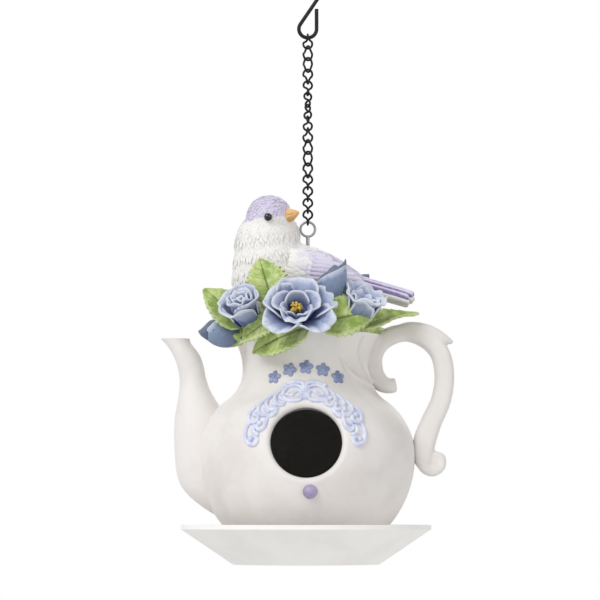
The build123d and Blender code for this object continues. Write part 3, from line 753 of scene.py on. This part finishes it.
handle = {  # scroll, thumb and toe are rows of x, z, half width and half depth, ribs of x, z and half width
    "scroll": [(49.4, 98, 3.8, 6.4), (45.2, 97.4, 4.2, 6.8), (40.6, 99.6, 4.8, 7), (37.3, 105.4, 5.2, 7),
               (36.9, 114.4, 5.4, 7.2), (42.2, 122.4, 5.3, 7.2), (53.9, 126.6, 4.8, 7.2),
               (65.4, 123.2, 5, 7.2), (73.4, 115.4, 5.4, 7.2), (75.9, 103, 5.4, 7.2), (74, 89.6, 5.5, 7.2),
               (68.6, 77.4, 5.8, 7.2), (64.9, 67, 6.2, 7.2), (64, 57, 5, 7), (64.6, 52.4, 2.8, 5.6)],
    "thumb": [(46, 127.2, 1.6, 5.6), (56, 129.4, 3, 6.6), (66, 127.8, 3.6, 6.4), (74, 124.2, 3, 5.2),
              (80.6, 121, 1, 2)],
    "toe": [(62.6, 58, 3, 6.4), (64.8, 52.6, 3, 6.4), (69.4, 50.6, 2.9, 6.2), (73.6, 53.4, 2.7, 6),
            (73.8, 58.2, 2.4, 5.8), (70.6, 59.4, 2.1, 5.4), (69.6, 56.8, 1.9, 5.2)],
    "toeHeart": dict(centre=(70.6, 0, 55.6), size=(4, 5.6, 4)),
    "ribs": [[(31.2, 123.4, 0.8), (29.8, 120.4, 1.7), (28.9, 115, 2.1), (30.4, 108.8, 2.2),
              (33.2, 102.6, 2.2), (35.6, 97.4, 1.8)],
             [(18.2, 111.4, 0.5), (20.2, 107.6, 1.5), (22.6, 103.8, 1.9), (26.6, 100.4, 2.1),
              (32.4, 97.4, 2.1), (36.8, 95, 1.6)]],
    "grain": 0.7, "rounds": 6,
}


def rib(path, side, sides=14):  # a low ridge on the pot beside the handle: rows of x, z and half width
    seats = [onPot(x, z) for x, z, size in path]
    middle = np.array([(hit - spot(0, 0, 0)) / mm for hit, normal in seats])
    points = []
    for at, ahead, (hit, normal), (x, z, size) in zip(middle, np.gradient(middle, axis=0), seats, path):
        aside = Vector(ahead).normalized().cross(normal)
        ring = [Vector(at) + aside * size * cos(turn) + normal * size * (1.1 * sin(turn) - 0.15)
                for turn in around(sides)]
        points += [Vector((p.x, p.y * side, p.z)) for p in ring]
    return points, tubeFaces(len(path), sides)


handleForms = [flatTube(smoothPath(handle[part], count))
               for part, count in (("scroll", 90), ("thumb", 30), ("toe", 24))]
handleForms.append(egg(**handle["toeHeart"]))
handleForms += [rib(smoothPath(line, 30), side) for line in handle["ribs"] for side in (1, -1)]
handleSkin = sculpt("handle_scroll", handleForms, potPaint, handle["grain"], handle["rounds"])
keep(handleSkin, "pot_resin", "handle")
print("handle bent")


# Bird: one skin for body and head, feathers over it

bird = {
    "middle": -4.0, "face": -28.0, "eyeLine": 188.4, "eyeTurn": 56.0, "headRadius": 13.0,
    "head": (-20.0, -7.0, 188.8), "eyes": (-21.9, -7.0, 188.2), "grain": 0.9, "rounds": 28,
    "forms": [
        dict(centre=(-18.7, -4, 156), size=(22, 20.6, 23)),
        dict(centre=(3.5, -4, 153.5), size=(40, 18.5, 18.5), slope=25),
        dict(centre=(-19.4, -4, 165), size=(20.8, 19.2, 16)),
        dict(centre=(-21.2, -3.8, 174), size=(18.2, 17.4, 20)),
        dict(centre=(-15.8, -1.4, 180), size=(12.6, 13.6, 13.4)),
        dict(centre=(-20, -7, 188.8), size=(13, 12.8, 13)),
        dict(centre=(0, -13, 156.6), size=(22, 8, 12.6), slope=24),
        dict(centre=(0, 5, 156.6), size=(22, 8, 12.6), slope=24)],
}
feather = {"length": 5.2, "width": 1.9, "dome": 0.35, "rows": 5, "columns": 3, "spacing": 1.5, "lift": 1.6,
           "seed": 4}


def housePoints(mesh):  # a mesh's points back in house millimetres
    places = np.empty(len(mesh.vertices) * 3)
    mesh.vertices.foreach_get("co", places)
    return (places.reshape(-1, 3) - np.array(spot(0, 0, 0))) / mm


def coatNumbers(mesh):  # where feathers grow on the skin, which way, how big, how violet
    places = housePoints(mesh)
    x, y, z = places.T
    head = ease(176, 186, z)
    turn, eyeTurn = radians(bird["face"]), radians(bird["eyeTurn"])
    gaze = np.array([cos(turn), sin(turn), 0.0])
    back = ease(-12, 10, x)
    body = np.stack([0.30 + 1.1 * back, 0 * x, -1.1 + 0.6 * back], 1)
    flow = body * (1 - head)[:, None] + np.array([-gaze[0], -gaze[1], -0.55]) * head[:, None]
    flow /= np.linalg.norm(flow, axis=1)[:, None]
    fromBeak = np.linalg.norm(places - (np.array(bird["head"]) + gaze * 12.6), axis=1)
    eyes = [np.array(bird["eyes"]) + bird["headRadius"] * np.array([cos(at), sin(at), 0])
            for at in (turn + eyeTurn, turn - eyeTurn)]
    fromEye = np.min([np.linalg.norm(places - eye, axis=1) for eye in eyes], axis=0)
    wing = ease(-10, -4, x) * ease(144, 148, z) * (1 - ease(168, 172, z + 0.25 * x))
    wing = wing * ease(9, 12, abs(y - bird["middle"]))
    coat = ease(4.2, 6.2, fromBeak) * ease(2.6, 3.8, fromEye) * ease(136, 140, z) * (1 - wing)
    line = bird["eyeLine"] + np.minimum(0.05 * (x + 22), 0.15 * (x + 22))
    cap = ease(-1.0, 1.0, z - line) * ease(178, 182, z)
    rump = ease(2, 12, x) * 0.75
    return flow, {"coat": coat, "size": 1.0 - 0.40 * head, "violet": np.maximum(cap, rump),
                  "along": np.full(len(x), 0.5)}


def featherPiece():
    points, along = [], []
    rows, columns = feather["rows"], feather["columns"]
    for v, u in sheet(rows, columns):
        half = feather["width"] / 2 * max(0.10, 1 - abs(2 * v - 1.06) ** 3.2)
        rise = feather["dome"] * ((1 - u * u) * sin(pi * (0.12 + 0.7 * v)) - 0.2)
        points.append(Vector((u * half, feather["length"] * v, rise)) * mm)
        # painted shade: along is low at the root and sides, high at the tip
        along.append(0.15 + 0.85 * v * (1 - 0.5 * u * u))
    return meshPiece("feather", points, gridFaces(rows, columns), plume, {"along": along})


def coatRig():
    rig = Rig("featherCoat", Feather="Object", Spacing="Float", Lift="Rotation", Seed="Int")
    points = rig.node("GeometryNodeDistributePointsOnFaces", {"distribute_method": "POISSON"}, {
        "Mesh": rig.given("Geometry"), "Distance Min": rig.given("Spacing"), "Density Max": 4e5,
        "Density Factor": rig.own("coat"), "Seed": rig.given("Seed")})
    normal = Wire(rig, points.socket.node.outputs["Normal"])
    turn = rig.turned(normal, rig.own("flow", "FLOAT_VECTOR"), rig.given("Lift"))
    size = rig.own("size") * rig.chance("FLOAT", 0.85, 1.15)
    return rig.close(rig.given("Geometry"), rig.copies(points, "Feather", turn, size))


figure = sculpt("bird_figure", [egg(**form) for form in bird["forms"]], plume, bird["grain"], bird["rounds"])
flow, numbers = coatNumbers(figure.data)
setNumbers(figure.data, "flow", flow, "FLOAT_VECTOR")
for label, values in numbers.items():
    setNumbers(figure.data, label, values)
oneFeather = featherPiece()
coatRig().run(figure, Feather=oneFeather, Spacing=feather["spacing"] * mm, Seed=feather["seed"],
              Lift=(radians(feather["lift"]), 0, 0), Material=plume)
bpy.data.objects.remove(oneFeather)
keep(figure, "bird_resin", "bird_body", "bird_head")
print("bird feathered")


# Wings and tail: long vanes side by side, small coverts over their roots

wing = {
    "centre": (8.0, 157.4), "slope": 14.0, "half": (42.0, 19.5), "tuck": 0.70, "taper": 0.76, "depth": 18.0,
    "seed": 17, "thickness": 1.3,
    # long vanes: the top one's root and tip, along and across the wing, and the steps to the next one's
    "vanes": dict(count=9, root=(-7.0, 9.0), rootStep=(0.2, -2.2), tip=(0.5, 9.2), tipStep=(4.4, -1.5)),
    "vane": dict(width=2.4, height=1.6, violet=1.0, dome=1.5), "longest": 28.0,
    # rows of coverts: where along the wing, how many, how high
    "rows": ((-10.0, 8, 1.9), (-13.0, 8, 2.1), (-16.0, 8, 2.2), (-19.0, 7, 2.2)),
    "coverts": dict(top=9.0, step=2.6, stagger=1.3, length=5.4, fall=0.4, sink=0.10, violet=(0.36, 0.84),
                    fade=0.11),
    "covert": dict(width=3.0, rows=8, dome=0.9),
}
tail = {
    "root": (18.0, -4.0, 155.6), "slope": 16.0, "count": 5, "length": 42.0, "thickness": 3.0,
    "vane": dict(width=4.2, dome=1.0), "rootHalf": 5.4, "tipHalf": 7.4, "round": 2.4, "crown": 1.6,
    "droop": 3.4,
    "layers": ((0.0, 0.0, 1.0), (2.6, 1.0, 0.3)),  # how far down, how much longer, how violet
}


def vane(place, start, end, width, height, violet, rows=14, columns=7, dome=0.9):
    (a0, b0), (a1, b1) = start, end
    length = hypot(a1 - a0, b1 - b0)
    ahead = ((a1 - a0) / length, (b1 - b0) / length)
    points, along = [], []
    for v, u in sheet(rows, columns):
        half = width / 2 * max(0.12, 1 - abs(2 * v - 1) ** 6)
        a = a0 + ahead[0] * length * v - ahead[1] * u * half
        b = b0 + ahead[1] * length * v + ahead[0] * u * half
        points.append(place(a, b, height + dome * (1 - u * u) - 0.4 * exp(-(u / 0.16) ** 2)))
        # painted shade: along is low along each vane's sides and root, dark lines between the vanes
        along.append(0.05 + 0.95 * (1 - abs(u) ** 1.6) * (0.55 + 0.45 * ease(0, 0.5, v)))
    return points, gridFaces(rows, columns), {"along": along, "violet": [violet] * len(points)}


def plumes(node, vanes, thickness):
    points, faces, numbers = gather(vane(**settings) for settings in vanes)
    piece = meshPiece(node + "_vanes", points, faces, plume, numbers)
    keep(finishWith(piece, wall(thickness, -1.0), softer), "plumage_resin", node)


def wingPlace(side):  # along the wing, across it and out from the bird's flank
    def place(a, b, height):
        turn = radians(wing["slope"])
        x = wing["centre"][0] + a * cos(turn) + b * sin(turn)
        z = wing["centre"][1] - a * sin(turn) + b * cos(turn)
        # the tip and the upper edge lie close to the back
        reach = wing["half"][0] * (wing["taper"] if a > 0 else 1.0)
        rise = wing["half"][1] * (wing["tuck"] if b > 0 else 1.0)
        bulge = sqrt(max(0.16, 1 - (a / reach) ** 2 - (b / rise) ** 2))
        return spot(x, bird["middle"] + side * (wing["depth"] * bulge + height), z)
    return place


def tailPlace(a, b, height):
    turn = radians(tail["slope"])
    x, y, z = tail["root"]
    return spot(x + a * cos(turn) + height * sin(turn), y + b, z - a * sin(turn) + height * cos(turn))


def longVanes(place):  # from the wing's upper edge down
    laid, vanes = wing["vanes"], []
    for i in range(laid["count"]):
        root = [at + step * i for at, step in zip(laid["root"], laid["rootStep"])]
        a, b = [at + step * i for at, step in zip(laid["tip"], laid["tipStep"])]
        vanes.append(dict(wing["vane"], place=place, start=root, end=(min(a, wing["longest"]), b)))
    return vanes


def coverts(place):  # staggered rows, paler towards the shoulder
    laid, vanes = wing["coverts"], []
    draw = random.Random(wing["seed"])
    for row, (a, count, height) in enumerate(wing["rows"]):
        for i in range(count):
            b = laid["top"] - laid["step"] * i - laid["stagger"] * (row % 2) + draw.uniform(-0.4, 0.4)
            start = (a + draw.uniform(-0.6, 0.6), b)
            violet = draw.uniform(*laid["violet"]) - laid["fade"] * row
            vanes.append(dict(wing["covert"], place=place, start=start, violet=violet,
                              end=(a + laid["length"], b - laid["fall"]), height=height - laid["sink"] * i))
    return vanes


for side, node in ((-1, "wing_near"), (1, "wing_far")):
    place = wingPlace(side)
    plumes(node, (longVanes(place) + coverts(place))[::-side], wing["thickness"])

fan = [dict(tail["vane"], place=tailPlace, start=(0, tail["rootHalf"] * f), violet=violet,
            end=(tail["length"] + longer - tail["round"] * f * f, tail["tipHalf"] * f),
            height=tail["crown"] - tail["droop"] * abs(f) ** 1.5 - down)
       for down, longer, violet in tail["layers"] for f in np.linspace(-1, 1, tail["count"])]
plumes("bird_tail", fan, tail["thickness"])
print("wings and tail laid")


# Beak

beak = {"base": (-20.2, -7.0, 189.6), "reach": 10.6, "length": 8.2, "width": 4.3, "height": 4.4,
        "droop": -1.7, "rows": 12, "columns": 32}


def beakShape():
    points, seam = [], []
    for t in np.linspace(0, 1, beak["rows"]):
        swell = max(0.04, (1 - t ** 1.7) ** 0.8)
        for turn in around(beak["columns"]):
            slit = exp(-((sin(turn) - 0.05) / 0.14) ** 2) * ease(0.10, 0.35, t)
            size = swell * (1 - 0.14 * slit)
            up = beak["height"] * size * sin(turn) * (0.9 if sin(turn) < 0 else 1.0)
            points.append((beak["width"] * size * cos(turn), up - beak["droop"] * t * t, beak["length"] * t))
            seam.append(slit)
    return points, tubeFaces(beak["rows"], beak["columns"]), {"seam": seam}


points, faces, numbers = beakShape()
gaze = facing(spot(*beak["base"]), bird["face"], 0.0) @ Matrix.Translation((0, 0, beak["reach"] * mm))
beakPiece = outward(meshPiece("bird_beak_shut", placed(gaze, points), faces, beakPaint("beakOchre"), numbers))
keep(finishWith(beakPiece, softer), "beak_resin", "bird_beak")
print("beak set")


# Filigree: scrolls drawn round the hole, laid on the pot as raised cord

filigree = {
    "centre": (-0.6, 67.6), "cord": 1.2, "bead": 1.6, "inset": 1.6, "lift": 0.35,
    "strokes": [  # degrees from the crown and millimetres from the hole's centre
        [(1, 24.5), (5, 28.6), (13, 30.2), (22, 29.4), (28, 26.6), (26, 23.4), (18, 21.8), (8, 21.8),
         (3.5, 24.2), (7, 26.8), (13, 26.4), (18, 25.0), (22, 26.0)],
        [(1, 21.6), (1, 26.5), (2.5, 30.6), (11, 31.8), (20, 31.2)],
        [(23, 30.2), (32, 29.4), (39, 27.0), (40, 24.0), (35, 22.4), (30.5, 23.8), (32, 25.8)],
        [(36, 29.6), (45, 29.6), (51, 27.6), (51, 24.6), (46, 23.4), (43, 25.4)],
        [(47, 30.4), (56, 31.0), (62, 29.2), (62, 26.2), (57, 25.0), (54, 27.0)],
        [(43, 22.6), (51, 22.0), (58, 22.8), (60, 25.0)],
        [(57, 32.0), (66, 33.4), (74, 32.0), (73, 28.8), (67, 28.4), (66, 30.6)],
        [(60, 24.0), (68, 23.6), (76, 23.8), (81, 25.6), (78, 27.6), (73, 26.6)],
        [(70, 30.0), (80, 32.6), (89, 33.0), (96, 31.4), (98, 28.4), (93, 26.8), (89.5, 28.6), (92, 30.2)],
        [(76, 28.6), (83, 29.0), (87, 27.0)],
    ],
}


def cordRig():
    rig = Rig("raisedCord", Radius="Float", Bead="Float")
    run = rig.node("GeometryNodeMeshToCurve", None, {"Mesh": rig.given("Geometry")})
    ring = rig.node("GeometryNodeCurvePrimitiveCircle", None,
                    {"Resolution": 10, "Radius": rig.given("Radius")})
    skin = rig.node("GeometryNodeCurveToMesh", None, {
        "Curve": run, "Profile Curve": ring, "Scale": rig.own("taper"), "Fill Caps": True})
    bead = rig.node("GeometryNodeMeshIcoSphere", None, {"Radius": rig.given("Bead"), "Subdivisions": 2})
    last = rig.node("GeometryNodeCurveEndpointSelection", None, {"Start Size": 0, "End Size": 1})
    return rig.close(skin, rig.node("GeometryNodeInstanceOnPoints", None,
                                    {"Points": run, "Selection": last, "Instance": bead}))


points, edges, taper = [], [], []
for stroke in filigree["strokes"]:
    run = smoothPath(stroke, 8 * len(stroke)) - (0, filigree["inset"])
    for mirror in (-1, 1):
        for number, (angle, reach) in enumerate(run):
            turn = radians(angle)
            hit, normal = onPot(filigree["centre"][0] + mirror * reach * sin(turn),
                                filigree["centre"][1] + reach * cos(turn))
            if number:
                edges.append((len(points) - 1, len(points)))
            points.append(hit + normal * filigree["lift"] * mm)
            taper.append(0.75 + 0.35 * sin(pi * number / (len(run) - 1)))
guide = bpy.data.meshes.new("filigree_guide")
guide.from_pydata(points, edges, [])
setNumbers(guide, "taper", taper)
scrolls = addPiece("filigree_scrolls", guide)
cordRig().run(scrolls, Radius=filigree["cord"] * mm, Bead=filigree["bead"] * mm,
              Material=reliefPaint("filigreeBlue", (230, 233, 246), (204, 210, 236)))
keep(scrolls, "filigree_resin", "filigree_arch")


# Blossoms in an arc over the filigree

blossoms = {
    "count": 5, "from": -55.5, "to": -124.5, "reach": 30.0, "centre": (0.0, 75.6), "size": 1.0, "seed": 6,
    "petals": 5,
    "petal": dict(centre=(0, 2.15, 0.3), size=(1.45, 1.9, 0.85), rows=8, columns=14),
    "heart": dict(centre=(0, 0, 0.8), size=(1.15, 1.15, 0.9), rows=8, columns=14),
}


def blossomPiece():
    parts = []
    for turn in range(blossoms["petals"]):
        spin = Matrix.Rotation(2 * pi * turn / blossoms["petals"], 3, "Z")
        points, faces = egg(**blossoms["petal"])
        parts.append(([spin @ (p + Vector((0, 0, -0.10 * (p.y - 2.1)))) for p in points], faces))
    points, faces = gather(parts + [egg(**blossoms["heart"])])[:2]
    return outward(meshPiece("blossom", [Vector(p) * mm for p in points], faces))


def blossomRig():
    rig = Rig("blossomBand", Blossom="Object", Size="Float", Seed="Int")
    spin = rig.chance("FLOAT_VECTOR", (0.0, 0.0, -0.5), (0.0, 0.0, 0.5))
    turn = rig.turned(rig.own("facing", "FLOAT_VECTOR"), (0.0, 0.0, 1.0), spin)
    return rig.close(rig.copies(rig.given("Geometry"), "Blossom", turn, rig.given("Size")))


seats = [onPot(blossoms["centre"][0] + blossoms["reach"] * cos(turn),
               blossoms["centre"][1] - blossoms["reach"] * sin(turn))
         for turn in np.radians(np.linspace(blossoms["from"], blossoms["to"], blossoms["count"]))]
band = meshPiece("blossom_band_row", [hit for hit, normal in seats], [])
setNumbers(band.data, "facing", [tuple(normal) for hit, normal in seats], "FLOAT_VECTOR")
oneBlossom = blossomPiece()
blossomRig().run(band, Blossom=oneBlossom, Size=blossoms["size"], Seed=blossoms["seed"],
                 Material=reliefPaint("blossomSlate", (158, 168, 200), (126, 136, 172)))
bpy.data.objects.remove(oneBlossom)
keep(band, "blossom_resin", "blossom_band")
print("relief laid on the pot")


# Stage: white floor and sky, soft light, and the camera of the photograph

stageSize = {"drop": 0.16, "half": 3.0, "light": 0.48, "glow": 0.45, "aim": 110}
white = (1, 1, 1, 1)


def whiteFloor():
    material = bpy.data.materials.new("stageWhite")
    material.use_nodes = True
    desk = Desk(material.node_tree)
    desk.tree.nodes.clear()
    path = desk.node("ShaderNodeLightPath", output="Is Camera Ray")
    plain = desk.node("ShaderNodeBsdfDiffuse", None, {"Color": tint(236, 236, 236)})
    glow = desk.node("ShaderNodeEmission", None, {"Color": white, "Strength": stageSize["glow"]})
    lit = desk.node("ShaderNodeBsdfDiffuse", None, {"Color": (0.62, 0.62, 0.62, 1)})
    seen = desk.node("ShaderNodeAddShader", None, {0: lit, 1: glow})
    surface = desk.node("ShaderNodeMixShader", None, {0: path, 1: plain, 2: seen})
    desk.node("ShaderNodeOutputMaterial", None, {"Surface": surface})
    return material


half, level = stageSize["half"], saucerLow.z - stageSize["drop"]
corners = [(-half, -half, level), (half, -half, level), (half, half, level), (-half, half, level)]
floor = meshPiece("floor", corners, [(0, 1, 2, 3)], whiteFloor(), smooth=False)

world = bpy.data.worlds.new("studio")
bpy.context.scene.world = world
world.use_nodes = True
sky = Desk(world.node_tree)
sky.tree.nodes.clear()
rays = sky.node("ShaderNodeLightPath").socket.node.outputs
straight = Wire(sky, rays["Is Camera Ray"])
for ray in ("Is Glossy Ray", "Is Transmission Ray"):
    straight = straight.maths("MAXIMUM", Wire(sky, rays[ray]))
ambient = sky.node("ShaderNodeBackground", None, {"Color": white, "Strength": stageSize["light"]})
backdrop = sky.node("ShaderNodeBackground", None, {"Color": white, "Strength": 1.0})
surface = sky.node("ShaderNodeMixShader", None, {0: straight, 1: ambient, 2: backdrop})
sky.node("ShaderNodeOutputWorld", None, {"Surface": surface})

lamps = {  # where each shines from, how wide it is and how strong
    "keyLight": dict(place=(-460, -560, 640), spread=31.0, strength=1.50),
    "fillLight": dict(place=(520, -640, 60), spread=52.0, strength=0.62),
    "backLight": dict(place=(160, 680, 520), spread=47.0, strength=1.00),
}


def aimed(name, data, place, target):  # a lamp or camera that looks at the target
    holder = addPiece(name, data)
    holder.location = place
    holder.rotation_euler = (target - place).to_track_quat("-Z", "Y").to_euler()
    return holder


for name, lamp in lamps.items():
    light = bpy.data.lights.new(name, "SUN")
    light.angle = radians(lamp["spread"])
    light.energy = lamp["strength"]
    aimed(name, light, spot(*lamp["place"]), spot(0, 0, stageSize["aim"]))

lens = {"pixel": 0.55, "frame": 600, "far": 1400.0, "eye": 24.0, "middle": (-3.3, 144.65), "sensor": 36.0,
        "clip": (0.05, 50.0)}
target = spot(lens["middle"][0], 0, lens["middle"][1])
station = spot(lens["middle"][0], -lens["far"], lens["eye"])
camera = aimed("photoCamera", bpy.data.cameras.new("photoCamera"), station, target)
camera.data.sensor_width = lens["sensor"]
camera.data.lens = lens["sensor"] * (target - station).length / (lens["pixel"] * lens["frame"] * mm)
camera.data.clip_start, camera.data.clip_end = lens["clip"]
bpy.context.scene.camera = camera
bpy.context.scene.view_settings.view_transform = "Standard"
print("stage set")
